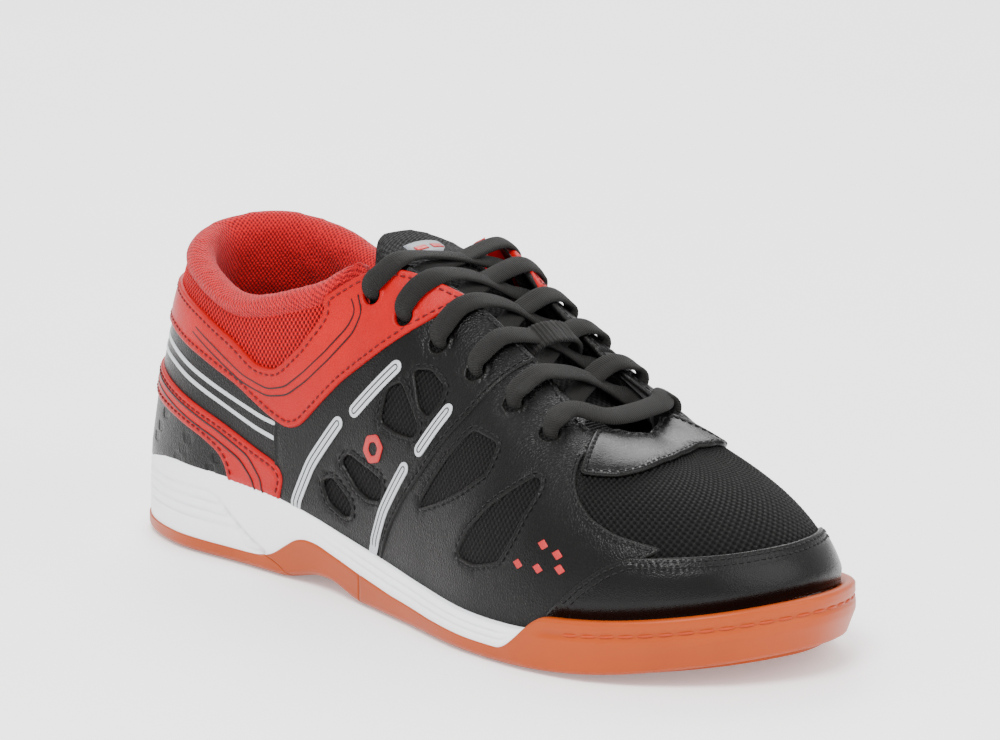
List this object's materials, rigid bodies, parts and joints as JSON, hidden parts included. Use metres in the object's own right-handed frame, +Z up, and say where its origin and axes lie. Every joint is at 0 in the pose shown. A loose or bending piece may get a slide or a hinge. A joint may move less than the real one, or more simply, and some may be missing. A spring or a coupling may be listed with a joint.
{
  "type": "court shoe",
  "caption": "Low-cut lace-up indoor court shoe for the right foot: gum outsole with toe bumper, white midsole, leather and mesh upper with padded collar and tongue.",
  "frame": {"origin": "centre of the shoe's box on the floor under the sole", "axes": "+X to the toe, +Y to the inner (medial) side, +Z up"},
  "size_m": [0.2897, 0.105, 0.112],
  "materials": {
    "gum_rubber": "satin",
    "sole_thread": "matt",
    "white_foam": "satin",
    "shank_steel": "brushed",
    "fibre_board": "matt",
    "sockliner_fabric": "matt",
    "stiffener": "matt",
    "black_mesh": "woven",
    "black_lining": "knit",
    "red_knit": "knit",
    "foam": "open cell",
    "red_mesh": "coarse mesh",
    "silver_print": "satin",
    "red_print": "satin",
    "webbing": "ribbed",
    "lace_cotton": "braided",
    "aglet_plastic": "gloss",
    "black_leather": "grained",
    "red_leather": "grained"
  },
  "bodies": {
    "shoe": {"outsole_forefoot": "gum_rubber", "outsole_heel": "gum_rubber", "arch_wedge": "gum_rubber", "bumper_stitching": "sole_thread", "midsole": "white_foam", "shank": "shank_steel", "insole_board": "fibre_board", "toe_puff": "stiffener", "heel_counter": "stiffener", "vamp_mesh": "black_mesh", "side_mesh_lateral": "black_mesh", "side_mesh_medial": "black_mesh", "heel_backing": "fibre_board", "vamp_lining": "black_lining", "side_lining_lateral": "black_lining", "side_lining_medial": "black_lining", "collar_lining": "red_knit", "collar_foam": "foam", "collar_mesh": "red_mesh", "eyestay_lateral": "black_leather", "eyestay_medial": "black_leather", "red_quarter_lateral": "red_leather", "red_quarter_medial": "red_leather", "heel_band_lateral": "black_leather", "heel_band_medial": "black_leather", "band_stripes_lateral": "silver_print", "band_stripes_medial": "silver_print", "low_stripe_lateral": "red_leather", "low_stripe_medial": "red_leather", "heel_piece_lateral": "black_leather", "heel_piece_medial": "black_leather", "saddle_lateral": "black_leather", "saddle_medial": "black_leather", "saddle_bars_lateral": "silver_print", "saddle_bars_medial": "silver_print", "emblem_lateral": "red_print", "emblem_medial": "red_print", "front_quarter_lateral": "black_leather", "front_quarter_medial": "black_leather", "diamonds_lateral": "red_print", "diamonds_medial": "red_print", "toe_cap": "black_leather", "throat_saddle": "black_leather", "lace": "lace_cotton", "aglets": "aglet_plastic"},
    "tongue": {"tongue_mesh": "black_mesh", "tongue_foam": "foam", "tongue_lining": "black_lining", "tongue_label": "silver_print", "lace_keeper": "webbing"},
    "sockliner_pad": {"sockliner": "sockliner_fabric"}
  },
  "joints": [
    {"name": "tongue_tilt", "type": "hinge", "parent": "shoe", "child": "tongue", "pos_m": [0.062, 0.007, 0.058], "axis": [0, -1, 0], "range_deg": [0, 3]},
    {"name": "sockliner_lift", "type": "hinge", "parent": "shoe", "child": "sockliner_pad", "pos_m": [0.129, 0.007, 0.028], "axis": [0, 1, 0], "range_deg": [0, 5]}
  ]
}
